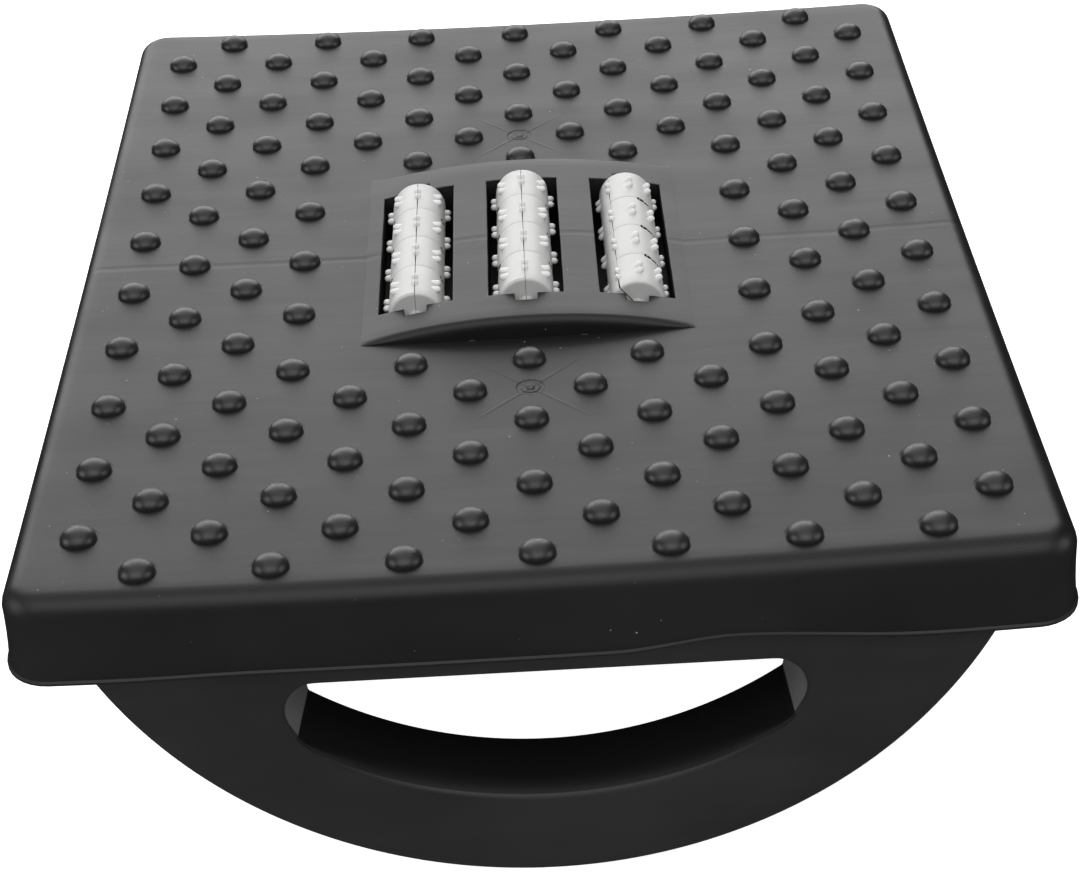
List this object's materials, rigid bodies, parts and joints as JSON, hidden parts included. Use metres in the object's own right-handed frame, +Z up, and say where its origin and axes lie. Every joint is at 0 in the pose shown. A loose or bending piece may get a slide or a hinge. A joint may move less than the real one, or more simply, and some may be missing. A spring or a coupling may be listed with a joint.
{
  "type": "rocking foot massage rest",
  "caption": "Rocking foot rest: a bumped rectangular tray on two arc-shaped legs with hand holes, and pale nubbed rollers that spin in slots in a raised arched panel.",
  "frame": {"origin": "on the floor, under the centre of the tray, where the legs' lowest facets rest", "axes": "+Z up; +Y from the front leg to the rear leg, along the tray's long side and the rollers' axles; +X across, the way it rocks"},
  "size_m": [0.3448, 0.4344, 0.1352],
  "materials": {
    "black_tray": "fine satin, moulded polypropylene",
    "black_leg": "satin, moulded polypropylene",
    "pale_roller": "smooth light grey plastic",
    "zinc_screw": "zinc-plated steel"
  },
  "bodies": {
    "base": {"platform": "black_tray", "rocker_leg_front": "black_leg", "rocker_leg_rear": "black_leg", "leg_screw_front_1": "zinc_screw", "leg_screw_front_2": "zinc_screw", "leg_screw_front_3": "zinc_screw", "leg_screw_front_4": "zinc_screw", "leg_screw_rear_1": "zinc_screw", "leg_screw_rear_2": "zinc_screw", "leg_screw_rear_3": "zinc_screw", "leg_screw_rear_4": "zinc_screw"},
    "roller_left": {"roller_left_half_a": "pale_roller", "roller_left_half_b": "pale_roller"},
    "roller_centre": {"roller_centre_half_a": "pale_roller", "roller_centre_half_b": "pale_roller"},
    "roller_right": {"roller_right_half_a": "pale_roller", "roller_right_half_b": "pale_roller"}
  },
  "joints": [
    {"name": "roller_left_spin", "type": "hinge", "parent": "base", "child": "roller_left", "pos_m": [-0.0412, 0, 0.12106], "axis": [0, 1, 0], "continuous": true},
    {"name": "roller_centre_spin", "type": "hinge", "parent": "base", "child": "roller_centre", "pos_m": [0, 0, 0.1248], "axis": [0, 1, 0], "continuous": true},
    {"name": "roller_right_spin", "type": "hinge", "parent": "base", "child": "roller_right", "pos_m": [0.0412, 0, 0.12106], "axis": [0, 1, 0], "continuous": true}
  ]
}
